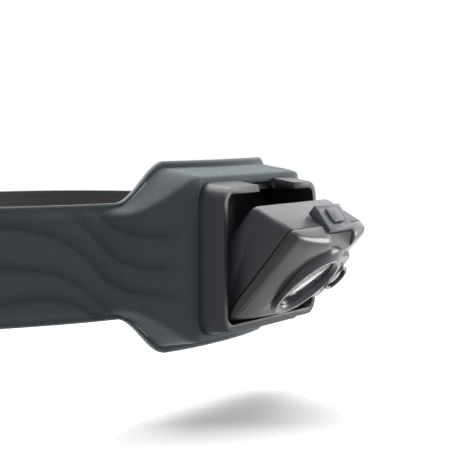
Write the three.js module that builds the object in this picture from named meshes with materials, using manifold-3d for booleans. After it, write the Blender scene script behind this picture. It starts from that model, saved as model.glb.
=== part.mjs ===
// Headlamp: a front frame clamped into a moulded fabric headband, and a lamp that tilts out of the frame.
// Millimetres. +Z is up, the lamp faces -Y, +X is the wearer's left. The origin is the point of the
// forehead pad that rests on the forehead.
import * as THREE from 'three';
import { mergeVertices } from 'three/addons/utils/BufferGeometryUtils.js';
import Module from 'manifold-3d';

const wasm = await Module();
wasm.setup();

// ---------------------------------------------------------------- driving dimensions
const touch = 0.3;              // gap between two pieces that rest on each other
const running = 0.15;           // radial gap round a pin

const frame = {
  width: 60,                    // outside, at the front rim
  height: 45,
  depth: 9.5,                   // what stands in front of the fabric
  draft: 1.55,                  // growth of each side from the rim to the fabric
  wall: 2.1,                    // at the rim
  corner: 5.5,
  rimY: -28,
  neckLength: 9.1,              // behind the fabric
  neckWall: 1.6,
  neckCorner: 1.5,
};
const notch = { centreX: 3.1, width: 22.6, depth: 8, backSlope: 3.2, fillet: 2.2 };
const cup = { wall: 0.9, floor: 1.2 };
const fabric = { thickness: 1.6, seat: 0.3 };

const lamp = {
  width: 50,
  height: 38.3,                 // at the seam between housing and cover
  depth: 14.46,                 // housing, behind the seam
  topDrop: 2.69,                // fall of the housing's top towards the back
  wall: 1.5,
  corner: 2.6,
  tilt: 39.53,                  // degrees forward, as shown
  hingeBehindSeam: 1.11,
  hingeBelowTop: 36,
  hingeY: 3.7,                  // behind the front rim
  hingeZ: -17,
};
const seal = { width: 0.45, depth: 0.4 };
const cover = {
  centreDepth: 6, sideDepth: 2.4, slant: 3, wall: 1.4, topSlope: 0.2,
  edge: 1.4, brow: 3.6, chin: 0.8,   // roundings at the sides, the top and the bottom of the front
  floorDip: 0.9, bowStep: 3.3,
  scoopT: 6.4, scoopS: -6.4,    // where the scoop under the tab meets the front
};
const tab = { centreX: 5.2, width: 16.4, backT: -6.4, frontT: 2.9, backS: 2.75, frontS: 0.45, bottomS: -0.8 };
const button = {
  width: 7.8, length: 5, rise: 0.8, skirt: 0.35, corner: 1.3, pocket: 1.25, gap: 0.25, t: -2.1,
};
const domeSwitch = { radius: 2.1, thickness: 0.45 };
const spot = {
  x: 1.3, s: -20.6,             // centre of the front rim
  pitch: 7,                     // degrees down, against the seam
  rimT: 7.2, rim: 12, rimWall: 1.1,
  bore: 10.2, ledge: 10.7,
  mouthDepth: 3, mouth: 9.2, dishDepth: 3.4, throat: 3.7, dishWall: 0.7,
  window: 10.4, windowDepth: 1.5, windowThickness: 0.8,
  dome: 3.2, domeHeight: 2.8, domeWall: 0.5, die: 2, column: 3.3, flange: 7.5, flangeThickness: 1.4,
};
const arch = { halfWidth: 12.9, above: 15.6, below: 11.9, centreS: -20.3, footT: 1.6 };
const shoulder = { left: 9, right: 23.2, top: -9.8, bottom: -29.6, rise: 0.8, inset: 0.7 };
const pod = { x: 19.3, s: -19.2, radius: 5, bore: 3.8, rimT: 7.4, chamfer: 0.4, floorT: 2, floor: 0.9 };
const podLens = { backT: 4.6, edgeT: 6, dome: 0.9 };
const pin = { radius: 1, grip: 1.6, boss: 2.1, inset: 2.6 };   // grip: its reach into the frame's wall
const detent = {
  radius: 6.2, hub: 2.2, thickness: 1, angle: 60, nub: 0.8, arm: 9, leaf: 0.6, notchEvery: 13.2,
};
const screw = { radius: 0.8, head: 1.5, headHeight: 1, length: 7 };
const post = { x: 20.9, topS: -6.2, bottomS: -30.6, radius: 1.7, coverRadius: 1.4 };
const cell = { width: 37, height: 29, thickness: 4.6, corner: 2, centreS: -19.4 };
const board = { width: 37.6, height: 30, thickness: 1 };
const tray = { topS: -3.1, bottomS: -33.4, thickness: 1.2, frontT: -0.3 };
const led = { size: 3, thickness: 0.8 };
const lead = { radius: 0.5, spread: 3 };
const socket = { length: 7.3, width: 9, thickness: 3.2, s: -15, shell: 0.4, tongue: 0.7 };
const flap = { width: 13, length: 7, thickness: 1.2 };

const loop = {                  // plan of the headband's inner face, from the middle of the front
  frontY: -6,
  frontRadius: 140, frontAngle: 35,
  sideRadius: 50,
  straight: 30,
  backRadius: 58,
};
const panel = {
  halfHeight: 30.2, bandHalfHeight: 17.8,
  podHalfHeight: 24.7, podHalfWidth: frame.width / 2 + 3, podFade: 20,
  flange: 2, bandPad: 1, bandRoll: 2.4,
  taperStart: frame.width / 2 - 1, taperEnd: frame.width / 2 + 18, thinOver: 18, end: 118,
};
const pad = { width: 68, height: 57.2, thickness: 5.7, corner: 10 };
const strap = { width: 25.4, thickness: 1.2, tail: 50 };
const fold = { gap: 2.4, sewn: 5, length: 14, height: 31.6 };
const ring = { bar: 1.8, window: 4.4, side: 2.2 };
const slider = { length: 9, wall: 1.1, side: 2 };

// ---------------------------------------------------------------- colours and finishes
const finish = (color, roughness, metalness = 0) => () =>
  new THREE.MeshStandardMaterial({ color, roughness, metalness });
const darkPlastic = finish('#2b2e33', 0.5);
const housingPlastic = finish('#33373b', 0.45);
const tabPlastic = finish('#6d7079', 0.45);
const bezelPlastic = finish('#2a2d38', 0.35);
const smokedClear = finish('#3a3835', 0.15);
const clear = finish('#dfe6ea', 0.05);
const chrome = finish('#e6e8ea', 0.08, 1);
const rubber = finish('#141414', 0.8);
const fabricSlate = finish('#34393d', 0.9);
const webbing = finish('#1d1b1b', 0.95);
const foam = finish('#26282a', 0.95);
const steel = finish('#b9bcc0', 0.3, 1);
const aluminium = finish('#c4c7ca', 0.35, 1);
const boardGreen = finish('#1d4a33', 0.6);
const cellFoil = finish('#9aa4b4', 0.35, 0.7);
const phosphor = finish('#e9dc7a', 0.4);
const copperWire = finish('#a8231c', 0.6);

// ---------------------------------------------------------------- helpers
const radians = THREE.MathUtils.degToRad;

function toSolid(geometry) {
  const bare = geometry.clone();
  bare.deleteAttribute('normal');
  bare.deleteAttribute('uv');
  const merged = mergeVertices(bare, 1e-4);
  const corners = Array.from(merged.index.array);
  const build = (triVerts) => new wasm.Manifold(new wasm.Mesh({
    numProp: 3,
    vertProperties: new Float32Array(merged.attributes.position.array),
    triVerts: new Uint32Array(triVerts),
  }));
  const solid = build(corners);
  if (solid.volume() > 0) return solid;
  return build(corners.map((_, i) => corners[i - (i % 3) + 2 - (i % 3)]));
}

function toGeometry(solid) {
  const mesh = solid.getMesh();
  const geometry = new THREE.BufferGeometry();
  geometry.setAttribute('position', new THREE.BufferAttribute(new Float32Array(mesh.vertProperties), 3));
  geometry.setIndex(new THREE.BufferAttribute(new Uint32Array(mesh.triVerts), 1));
  return geometry;
}

function addPart(group, name, solid, material) {
  const mesh = new THREE.Mesh(toGeometry(solid), material());
  mesh.name = name;
  group.add(mesh);
  return mesh;
}

function extrude(shape, depth, segments = 8) {
  return new THREE.ExtrudeGeometry(shape, { depth, bevelEnabled: false, curveSegments: segments });
}

// A shape drawn in (x, z) and given a thickness from y0 to y1.
function alongY(shape, y0, y1, segments) {
  return toSolid(extrude(shape, y1 - y0, segments).rotateX(Math.PI / 2).translate(0, y1, 0));
}

// A shape drawn in (y, z) and given a thickness from x0 to x1.
function alongX(shape, x0, x1, segments, y = 0, z = 0) {
  const turn = new THREE.Matrix4().set(0, 0, 1, x0, 1, 0, 0, y, 0, 1, 0, z, 0, 0, 0, 1);
  return toSolid(extrude(shape, x1 - x0, segments).applyMatrix4(turn));
}

function box(x0, x1, y0, y1, z0, z1) {
  const geometry = new THREE.BoxGeometry(x1 - x0, y1 - y0, z1 - z0);
  return toSolid(geometry.translate((x0 + x1) / 2, (y0 + y1) / 2, (z0 + z1) / 2));
}

function cylinderY(x, z, radius, y0, y1, segments = 24) {
  const geometry = new THREE.CylinderGeometry(radius, radius, y1 - y0, segments);
  return toSolid(geometry.translate(x, (y0 + y1) / 2, z));
}

function cylinderX(y, z, radius, x0, x1, segments = 24) {
  const geometry = new THREE.CylinderGeometry(radius, radius, x1 - x0, segments);
  return toSolid(geometry.rotateZ(Math.PI / 2).translate((x0 + x1) / 2, y, z));
}

// A profile of [radius, distance behind] pairs turned about an axis along Y, then placed.
function turned(profile, place, segments = 48) {
  const points = profile.map(([radius, behind]) => new THREE.Vector2(radius, behind));
  return toSolid(new THREE.LatheGeometry(points, segments).applyMatrix4(place));
}

function roundedRect(width, height, radius, centreX = 0, centreY = 0) {
  const x = width / 2;
  const y = height / 2;
  const shape = new THREE.Shape();
  shape.moveTo(centreX + x, centreY + y - radius);
  shape.absarc(centreX + x - radius, centreY + y - radius, radius, 0, Math.PI / 2);
  shape.absarc(centreX - x + radius, centreY + y - radius, radius, Math.PI / 2, Math.PI);
  shape.absarc(centreX - x + radius, centreY - y + radius, radius, Math.PI, 1.5 * Math.PI);
  shape.absarc(centreX + x - radius, centreY - y + radius, radius, 1.5 * Math.PI, 2 * Math.PI);
  return shape;
}

function polygon(points) {
  return new THREE.Shape(points.map(([a, b]) => new THREE.Vector2(a, b)));
}

// A closed body through rings of points: all rings have as many points, in the same order.
function loft(rings) {
  const count = rings[0].length;
  const positions = rings.flat().flatMap((point) => [point.x, point.y, point.z]);
  const index = [];
  for (let row = 0; row + 1 < rings.length; row += 1) {
    for (let i = 0; i < count; i += 1) {
      const next = (i + 1) % count;
      const a = row * count + i;
      const b = row * count + next;
      index.push(a, b, a + count, b, b + count, a + count);
    }
  }
  const flat = (ring) => {
    const origin = ring[0];
    const normal = ringNormal(ring);
    const across = ring[1].clone().sub(origin).normalize();
    const up = normal.clone().cross(across);
    return ring.map((point) => {
      const offset = point.clone().sub(origin);
      return new THREE.Vector2(offset.dot(across), offset.dot(up));
    });
  };
  const cap = THREE.ShapeUtils.triangulateShape(flat(rings[0]), []);
  const endCap = THREE.ShapeUtils.triangulateShape(flat(rings[rings.length - 1]), []);
  const last = (rings.length - 1) * count;
  cap.forEach(([a, b, c]) => index.push(c, b, a));
  endCap.forEach(([a, b, c]) => index.push(last + a, last + b, last + c));
  const geometry = new THREE.BufferGeometry();
  geometry.setAttribute('position', new THREE.Float32BufferAttribute(positions, 3));
  geometry.setIndex(index);
  return toSolid(geometry);
}

function ringNormal(ring) {
  const normal = new THREE.Vector3();
  ring.forEach((point, i) => {
    const next = ring[(i + 1) % ring.length];
    normal.x += (point.y - next.y) * (point.z + next.z);
    normal.y += (point.z - next.z) * (point.x + next.x);
    normal.z += (point.x - next.x) * (point.y + next.y);
  });
  return normal.normalize();
}

const smooth = (value) => {
  const k = THREE.MathUtils.clamp(value, 0, 1);
  return k * k * (3 - 2 * k);
};

// ---------------------------------------------------------------- plan of the head loop
// Half of the loop, from the middle of the front to the middle of the back, on the +X side.
function halfLoop() {
  const front = radians(loop.frontAngle);
  const path = new THREE.Path();
  const frontCentreY = loop.frontY + loop.frontRadius;
  path.absarc(0, frontCentreY, loop.frontRadius, -Math.PI / 2, front - Math.PI / 2, false);
  const sideCentreX = (loop.frontRadius - loop.sideRadius) * Math.sin(front);
  const sideCentreY = frontCentreY - (loop.frontRadius - loop.sideRadius) * Math.cos(front);
  path.absarc(sideCentreX, sideCentreY, loop.sideRadius, front - Math.PI / 2, 0, false);
  const sideX = sideCentreX + loop.sideRadius;
  const backStartY = sideCentreY + loop.straight;
  path.lineTo(sideX, backStartY);
  const turn = Math.PI / 2 - front;
  path.absarc(sideX - loop.backRadius, backStartY, loop.backRadius, 0, turn, false);
  const backX = sideX - loop.backRadius * (1 - Math.cos(turn));
  const backY = backStartY + loop.backRadius * Math.sin(turn);
  const lastRadius = backX / Math.sin(front);
  path.absarc(0, backY - lastRadius * Math.cos(front), lastRadius, turn, Math.PI / 2, false);
  return { path, length: path.getLength(), straightStart: loop.frontRadius * front + loop.sideRadius * turn };
}
const half = halfLoop();
const loopLength = 2 * half.length;

// Point of the loop at a distance along it, moved outwards, at a height. Negative distances lie on -X.
function onLoop(distance, outward, z) {
  const wrapped = distance > half.length ? distance - loopLength : distance;
  const side = wrapped < 0 ? -1 : 1;
  const share = THREE.MathUtils.clamp(Math.abs(wrapped) / half.length, 0, 1);
  const point = half.path.getPointAt(share);
  const along = half.path.getTangentAt(share);
  return new THREE.Vector3(side * (point.x + along.y * outward), point.y - along.x * outward, z);
}

function stations(from, to, step) {
  const count = Math.max(1, Math.round(Math.abs(to - from) / step));
  return Array.from({ length: count + 1 }, (_, i) => from + ((to - from) * i) / count);
}

// A flat band along the loop, between two distances, with its inner face moved outwards.
function bandAlong(from, to, inner, thickness, height, step = 5) {
  return loft(stations(from, to, step).map((distance) => [
    onLoop(distance, inner, -height / 2),
    onLoop(distance, inner + thickness, -height / 2),
    onLoop(distance, inner + thickness, height / 2),
    onLoop(distance, inner, height / 2),
  ]));
}

// ---------------------------------------------------------------- front frame
const fabricY = frame.rimY + frame.depth;             // back face of what stands in front of the fabric
const neckEndY = fabricY + frame.neckLength;
const cavity = { width: frame.width - 2 * frame.wall, height: frame.height - 2 * frame.wall };
cavity.corner = frame.corner - frame.wall;
const neck = { width: cavity.width + 2 * frame.neckWall, height: cavity.height + 2 * frame.neckWall };
const cornerScrews = [-1, 1].flatMap((sx) => [-1, 1].map((sz) => ({
  x: sx * (neck.width / 2 - frame.neckWall),
  z: sz * (neck.height / 2 - frame.neckWall),
})));

function draftedBody() {
  const geometry = extrude(roundedRect(frame.width, frame.height, frame.corner), frame.depth, 10);
  geometry.rotateX(Math.PI / 2).translate(0, fabricY, 0);
  const position = geometry.attributes.position;
  for (let i = 0; i < position.count; i += 1) {
    const grow = (frame.draft * (position.getY(i) - frame.rimY)) / frame.depth;
    position.setX(i, position.getX(i) * (1 + (2 * grow) / frame.width));
    position.setZ(i, position.getZ(i) * (1 + (2 * grow) / frame.height));
  }
  return toSolid(geometry);
}

// The notch is open at the rim, its back wall leans back, and its corners are filleted.
function notchCutter() {
  const backY = frame.rimY + notch.depth;
  const left = notch.centreX - notch.width / 2;
  const right = notch.centreX + notch.width / 2;
  const plan = (lean) => {
    const y = backY + lean;
    const points = [new THREE.Vector2(left - lean / 2, frame.rimY - 1)];
    const arc = (centreX, from) => {
      for (let i = 0; i <= 6; i += 1) {
        const angle = from - (Math.PI / 2) * (i / 6);
        points.push(new THREE.Vector2(
          centreX + notch.fillet * Math.cos(angle), y - notch.fillet + notch.fillet * Math.sin(angle)));
      }
    };
    arc(left - lean / 2 + notch.fillet, Math.PI);
    arc(right - notch.fillet, Math.PI / 2);
    points.push(new THREE.Vector2(right, frame.rimY - 1));
    return points;
  };
  const floorZ = cavity.height / 2 - 0.6;
  const topZ = frame.height / 2 + frame.draft + 0.6;
  return loft([
    plan(0).map((point) => new THREE.Vector3(point.x, point.y, floorZ)),
    plan(notch.backSlope).map((point) => new THREE.Vector3(point.x, point.y, topZ)),
  ]);
}

// Room above the cavity for the tab's back edge, from the notch back to where the closed tab ends.
function tabPocket() {
  const closedSeamY = frame.rimY + lamp.hingeY - lamp.hingeBehindSeam;
  const closedTopZ = lamp.hingeZ + lamp.hingeBelowTop;
  return box(
    tab.centreX - tab.width / 2 - 2 * touch, tab.centreX + tab.width / 2 + 2 * touch,
    frame.rimY + 1, closedSeamY - tab.backT + 2 * touch,
    0, closedTopZ + tab.backS + 2 * touch);
}

const hinge = { y: frame.rimY + lamp.hingeY, z: lamp.hingeZ };

function frontFrame() {
  const inside = alongY(
    roundedRect(cavity.width, cavity.height, cavity.corner), frame.rimY - 1, neckEndY + 1, 8);
  let body = draftedBody();
  body = body.add(alongY(roundedRect(neck.width, neck.height, frame.neckCorner), fabricY - 0.5, neckEndY, 4));
  body = body.subtract(inside).subtract(notchCutter()).subtract(tabPocket());
  for (const side of [-1, 1]) {
    const ends = [side * (pinInner - 1), side * (pinOuter + running)].sort((a, b) => a - b);
    body = body.subtract(cylinderX(hinge.y, hinge.z, pin.radius + running, ends[0], ends[1], 20));
  }
  for (const { x, z } of cornerScrews) {
    body = body.subtract(
      cylinderY(x, z, screw.radius + running / 2, neckEndY - screw.length, neckEndY + 1, 16));
  }
  return body;
}

function rearCup() {
  const frontY = fabricY + fabric.thickness + 2 * touch;
  const floorFrontY = neckEndY + touch;
  const backY = floorFrontY + cup.floor;
  const inner = { width: neck.width + 2 * touch, height: neck.height + 2 * touch };
  const outer = { width: inner.width + 2 * cup.wall, height: inner.height + 2 * cup.wall };
  let body = alongY(roundedRect(outer.width, outer.height, 2.4), frontY, backY, 5);
  body = body.subtract(alongY(roundedRect(inner.width, inner.height, 1.6), frontY - 1, floorFrontY, 5));
  for (const { x, z } of cornerScrews) {
    body = body.subtract(cylinderY(x, z, screw.radius + running, floorFrontY - 1, backY + 1, 16));
  }
  return body;
}

// A screw along Y whose head faces backwards, with the seat of its head at headY.
function screwAt(x, z, headY, length = screw.length) {
  return cylinderY(x, z, screw.radius, headY - length, headY + 0.2, 14)
    .add(cylinderY(x, z, screw.head, headY, headY + screw.headHeight, 18));
}

const frameScrewSeatY = neckEndY + 2 * touch + cup.floor;

// ---------------------------------------------------------------- headband
const podFrontY = fabricY + fabric.seat;
const innerLayerTop = fabric.thickness;                 // outer face of the layer next to the head
const outerLayer = innerLayerTop + fold.gap;            // inner face of a layer that is folded back

// Section of the moulded panel at a distance along the loop: a flange all round and a raised middle.
function panelSection(distance) {
  const away = Math.abs(distance);
  const taper = smooth((away - panel.taperStart) / (panel.taperEnd - panel.taperStart));
  const fade = smooth((away - panel.podHalfWidth) / panel.podFade);
  const thin = smooth((panel.end - fold.length - away) / panel.thinOver);
  const halfHeight = THREE.MathUtils.lerp(panel.halfHeight, panel.bandHalfHeight, taper);
  const podRise = onLoop(distance, 0, 0).y - podFrontY - fabric.thickness;
  const rise = THREE.MathUtils.lerp(podRise, panel.bandPad, fade) * Math.max(thin, 0.02);
  const hollow = rise * (1 - smooth((away - panel.podHalfWidth) / (panel.podFade / 2)));
  const top = Math.min(panel.podHalfHeight, halfHeight - panel.flange - panel.bandRoll);
  const foot = halfHeight - panel.flange;
  const outer = innerLayerTop;
  return {
    share: fade,
    points: [
      [0, -halfHeight], [outer, -halfHeight], [outer, -foot], [outer + rise, -top],
      [outer + rise, top], [outer, foot], [outer, halfHeight], [0, halfHeight],
      [0, foot - 1], [hollow, top - 1], [hollow, 1 - top], [0, 1 - foot],
    ],
  };
}

// In the middle the pod rises straight to the front; further out the panel rises away from the loop.
function panelRing(distance) {
  const { share, points } = panelSection(distance);
  return points.map(([outward, z]) => {
    const base = Math.min(outward, innerLayerTop);
    const straight = onLoop(distance, base, z);
    straight.y -= outward - base;
    return straight.lerp(onLoop(distance, outward, z), share);
  });
}

function headbandPanel() {
  const neckHole = alongY(
    roundedRect(neck.width + 2 * touch, neck.height + 2 * touch, frame.neckCorner + touch),
    podFrontY - 2, neckEndY, 5);
  let body = loft(stations(-panel.end, panel.end, 5).map(panelRing)).subtract(neckHole);
  for (const side of [-1, 1]) {
    const end = side * panel.end;
    const inwards = (distance) => end - side * distance;
    body = body
      .add(bandAlong(inwards(fold.length), end, outerLayer, fabric.thickness, fold.height, 3))
      .add(bandAlong(inwards(fold.length), inwards(fold.length - fold.sewn), innerLayerTop - 0.2,
        fold.gap + 0.4, fold.height, 3))
      .add(bandAlong(inwards(0.3), inwards(-fabric.thickness), 0, outerLayer + fabric.thickness,
        fold.height, 2));
  }
  return body;
}

function foreheadPad() {
  const outline = alongY(roundedRect(pad.width, pad.height, pad.corner), loop.frontY - 5, 30, 8);
  const facet = 8;              // an odd number of them, so that a flat one lies across the middle
  const reach = facet * (Math.ceil(pad.width / 2 / facet) + 0.5);
  const spill = pad.height / 2 + 1;
  const slab = loft(stations(-reach, reach, facet).map((distance) => [
    onLoop(distance, -touch, -spill),
    onLoop(distance, -touch, spill),
    onLoop(distance, -touch - pad.thickness, spill),
    onLoop(distance, -touch - pad.thickness, -spill),
  ]));
  return slab.intersect(outline);
}

// ---------------------------------------------------------------- rear strap, rings and sliders
const strapInner = innerLayerTop - strap.thickness;
const strapTurn = panel.end + fabric.thickness + 2 * touch;   // where the strap turns back in the ring
const strapStart = strapTurn + strap.thickness;
const ringStart = panel.end - 2 * touch - ring.bar;
const ringLength = 2 * ring.bar + ring.window;
const sliderCentre = half.straightStart + loop.straight / 2;

function rearStrap() {
  let body = bandAlong(strapTurn, loopLength - strapTurn, strapInner, strap.thickness, strap.width);
  for (const side of [-1, 1]) {
    const along = (distance) => side * distance;
    body = body
      .add(bandAlong(along(strapTurn), along(strapStart), strapInner,
        outerLayer + strap.thickness - strapInner, strap.width, 2))
      .add(bandAlong(along(strapStart - 0.3), along(strapStart + strap.tail), outerLayer,
        strap.thickness, strap.width));
  }
  return body;
}

function sideRing(side) {
  const height = fold.height + 2 * (ring.side + touch);
  const inner = innerLayerTop + touch;
  const thickness = fold.gap - 2 * touch;
  const window = [ringStart + ring.bar, ringStart + ring.bar + ring.window];
  return bandAlong(side * ringStart, side * (ringStart + ringLength), inner, thickness, height, 2.6)
    .subtract(bandAlong(side * window[0], side * window[1], inner - 1, thickness + 2,
      height - 2 * ring.side, 2.6));
}

function strapSlider(side) {
  const ends = [side * (sliderCentre - slider.length / 2), side * (sliderCentre + slider.length / 2)];
  const reach = ends.map((end, i) => end + (i === 0 ? -side : side));
  const layer = strap.thickness + 2 * touch;
  const slotHeight = strap.width + 2 * touch;
  const inner = strapInner - touch - slider.wall;
  const outer = outerLayer + strap.thickness + touch + slider.wall;
  return bandAlong(...ends, inner, outer - inner, slotHeight + 2 * slider.side, 9)
    .subtract(bandAlong(...reach, strapInner - touch, layer, slotHeight, 11))
    .subtract(bandAlong(...reach, outerLayer - touch, layer, slotHeight, 11));
}

// ---------------------------------------------------------------- lamp: housing and cover
// In the lamp's own frame x runs across, y backwards from the seam and z up from the housing's top edge
// at the seam, with the lamp closed. t is the distance in front of the seam, so y = -t.
const seamGap = touch / 2;
const halfWidth = lamp.width / 2;

// How far a rounded corner falls back at a distance from its side.
const fall = (fromSide, radius) =>
  fromSide >= radius ? 0 : radius - Math.sqrt(radius ** 2 - (radius - Math.max(fromSide, 0)) ** 2);

// A closed body through outlines in (y, z), one at each place across the lamp.
function acrossX(half, radius, step, outline) {
  const edge = [0, 0.08, 0.3, 0.6, 1].map((share) => half - share * radius);
  const middle = stations(-half + radius, half - radius, step).slice(1, -1);
  const places = [...edge.map((x) => -x), ...middle, ...edge.reverse()];
  return loft(places.map((x) => outline(x).map(([y, z]) => new THREE.Vector3(x, y, z))));
}

// Replaces each corner of an outline by a short curve that starts and ends at the given reach.
function roundCorners(points, reaches, steps = 3) {
  return points.flatMap(([y, z], i) => {
    if (reaches[i] === 0) return [[y, z]];
    const corner = new THREE.Vector2(y, z);
    const towards = (other) => {
      const step = new THREE.Vector2(other[0] - y, other[1] - z);
      return corner.clone().add(step.setLength(Math.min(reaches[i], step.length() / 2)));
    };
    const start = towards(points[(i + points.length - 1) % points.length]);
    const end = towards(points[(i + 1) % points.length]);
    const curve = new THREE.QuadraticBezierCurve(start, corner, end);
    return curve.getPoints(steps).map((point) => [point.x, point.y]);
  });
}

function housingBody(inset, frontY) {
  return acrossX(halfWidth - inset, lamp.corner, lamp.width, (x) => {
    const fromSide = halfWidth - inset - Math.abs(x);
    const drop = fall(fromSide, lamp.corner) + inset;
    const backY = lamp.depth - inset - fall(fromSide, lamp.corner / 2);
    const topAt = (y) => -drop - (lamp.topDrop * y) / lamp.depth;
    const bottom = -lamp.height + drop;
    return roundCorners(
      [[frontY, bottom], [backY, bottom], [backY, topAt(backY)], [frontY, topAt(frontY)]], [0, 1.2, 1.6, 0]);
  });
}

const hingeInLamp = { y: lamp.hingeBehindSeam, z: -lamp.hingeBelowTop };
const pinInner = halfWidth - lamp.wall - pin.inset;
const pinOuter = cavity.width / 2 + pin.grip;
const posts = [-1, 1].flatMap((side) => [post.topS, post.bottomS].map((s) => ({ x: side * post.x, z: s })));
const tabRange = (extra) => [tab.centreX - tab.width / 2 - extra, tab.centreX + tab.width / 2 + extra];

// A cylinder across the lamp, on one side or the other.
function onSide(side, y, z, radius, near, far, segments) {
  const ends = [side * near, side * far].sort((a, b) => a - b);
  return cylinderX(y, z, radius, ends[0], ends[1], segments);
}

function lampHousing() {
  const cavityBackY = lamp.depth - lamp.wall;
  const postFrontY = touch - tray.frontT + tray.thickness;
  const headSeatY = lamp.depth - screw.headHeight - running;
  const seatZ = tab.bottomS - touch;
  const axle = [hingeInLamp.y, hingeInLamp.z];
  let body = housingBody(0, seamGap).subtract(housingBody(lamp.wall, -1));
  for (const { x, z } of posts) {
    body = body.add(cylinderY(x, z, post.radius, postFrontY, cavityBackY + lamp.wall / 2, 20));
  }
  const [tabLeft, tabRight] = tabRange(touch);
  body = body
    .add(box(tabLeft, tabRight, seamGap, -tab.backT + touch, seatZ - lamp.wall, seatZ - lamp.wall / 2))
    .subtract(box(tabLeft, tabRight, -1, -tab.backT + touch, seatZ, 3));
  for (const side of [-1, 1]) {
    body = body
      .add(onSide(side, ...axle, pin.boss, pinInner - 1, halfWidth - lamp.wall, 24)
        .subtract(box(-halfWidth, halfWidth, -5, seamGap - 1.2, -lamp.height - 3, 0)))
      .subtract(onSide(side, ...axle, pin.radius + running, pinInner - running, halfWidth + 1, 20));
  }
  for (const { x, z } of posts) {
    body = body
      .subtract(cylinderY(x, z, screw.radius + running, 0, lamp.depth + 1, 14))
      .subtract(cylinderY(x, z, screw.head + running, headSeatY, lamp.depth + 1, 18));
  }
  return body.subtract(portHole(touch, halfWidth - lamp.wall - 1, halfWidth + 1));
}

const frontT = (x, inset) => {
  const bow = 1 - (x / halfWidth) ** 2;
  return cover.sideDepth + (cover.centreDepth - cover.sideDepth) * bow - inset;
};
const slant = Math.tan(radians(cover.slant));
const bottomRise = Math.tan(radians(lamp.tilt));

function coverBody(inset, backY) {
  return acrossX(halfWidth - inset, lamp.corner, cover.bowStep, (x) => {
    const fromSide = halfWidth - inset - Math.abs(x);
    const drop = fall(fromSide, lamp.corner) + inset;
    const middle = frontT(x, inset) - fall(fromSide, cover.edge);
    const topT = (middle + slant * (spotMiddle - drop)) / (1 + slant * cover.topSlope);
    const bottomT = (middle + slant * (spotMiddle - lamp.height + drop)) / (1 - slant * bottomRise);
    const topAt = (t) => -drop - cover.topSlope * t;
    const bottomAt = (t) => -lamp.height + drop + bottomRise * t;
    const front = [[-topT, topAt(topT)], [-bottomT, bottomAt(bottomT)]];
    return roundCorners(
      [[backY, bottomAt(-backY)], [backY, topAt(-backY)], ...front], [0, 0, cover.brow, cover.chin], 6);
  });
}

// The recess in the cover below the tab: flat under the tab, then falling to the front.
function scoop(inset, extra) {
  const flatS = tab.bottomS - touch - inset;
  const outline = polygon([
    [3, flatS], [-tab.frontT - 0.2, flatS], [-cover.scoopT, cover.scoopS - inset],
    [-14, cover.scoopS - inset], [-14, 5], [3, 5],
  ]);
  return alongX(outline, ...tabRange(touch + extra));
}

function lensCover() {
  const shell = coverBody(0, -seamGap).subtract(scoop(0, 0));
  const hollow = coverBody(cover.wall, 1).subtract(scoop(cover.wall, cover.wall));
  let body = shell.subtract(hollow);
  for (const { x, z } of posts) {
    body = body.add(cylinderY(x, z, post.coverRadius, -frontT(x, cover.wall / 2), -seamGap, 18)
      .subtract(cylinderY(x, z, screw.radius + running / 2, -1.6, 1, 14)));
  }
  for (const side of [-1, 1]) {
    body = body.subtract(onSide(
      side, hingeInLamp.y, hingeInLamp.z, pin.boss + touch,
      pinInner - 1 - touch, halfWidth - lamp.wall + touch, 24));
  }
  return body
    .subtract(archBody(running, true))
    .subtract(shoulderBody(running, true))
    .subtract(cylinderY(pod.x, pod.s, pod.radius + running, -20, 3, 40));
}

function coverSeal() {
  const sealHalf = halfWidth - lamp.wall - 2 * touch;
  const topZ = tab.bottomS - touch - cover.wall - touch;
  const bottomZ = -lamp.height + lamp.wall + touch + 1.2;
  const frameShape = (inset) => roundedRect(
    2 * (sealHalf - inset), topZ - bottomZ - 2 * inset, lamp.corner - inset, 0, (topZ + bottomZ) / 2);
  let body = alongY(frameShape(0), -seal.depth, 0, 6).subtract(alongY(frameShape(seal.width), -2, 2, 6));
  for (const side of [-1, 1]) {
    body = body.subtract(
      onSide(side, hingeInLamp.y, hingeInLamp.z, pin.boss + touch, 0, halfWidth, 24));
  }
  return body;
}

// ---------------------------------------------------------------- lamp: bezels and optics
const spotMiddle = 20;
const spotPlace = new THREE.Matrix4()
  .makeTranslation(spot.x, -spot.rimT, spot.s)
  .multiply(new THREE.Matrix4().makeRotationX(radians(spot.pitch)));

// Outline round the spot: an arch above, nearly square below.
function archOutline(grow, steps = 56) {
  return Array.from({ length: steps }, (_, i) => {
    const angle = (2 * Math.PI * i) / steps;
    const [cos, sin] = [Math.cos(angle), Math.sin(angle)];
    const power = 2 / (sin > 0 ? 2.3 : 3.4);
    const reach = sin > 0 ? arch.above : arch.below;
    return new THREE.Vector2(
      spot.x + Math.sign(cos) * (arch.halfWidth + grow) * Math.abs(cos) ** power,
      arch.centreS + Math.sign(sin) * (reach + grow) * Math.abs(sin) ** power);
  });
}

const surfaceT = (x, s) => frontT(x, 0) + slant * (s + spotMiddle);

// The raised bezel: a foot through the cover, a slope from the cover's face, a round front rim.
function archBody(grow, throughOnly) {
  const outline = archOutline(grow);
  const ringAt = (t) => outline.map((point) => new THREE.Vector3(point.x, -t(point), point.y));
  const foot = ringAt(() => (throughOnly ? -2 : arch.footT));
  if (throughOnly) return loft([foot, ringAt(() => 14)]);
  const rim = outline.map((_, i) => {
    const angle = (2 * Math.PI * i) / outline.length;
    const radius = spot.rim + spot.rimWall;
    return new THREE.Vector3(radius * Math.cos(angle), 0, radius * Math.sin(angle)).applyMatrix4(spotPlace);
  });
  return loft([foot, ringAt((point) => surfaceT(point.x, point.y)), rim]);
}

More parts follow.
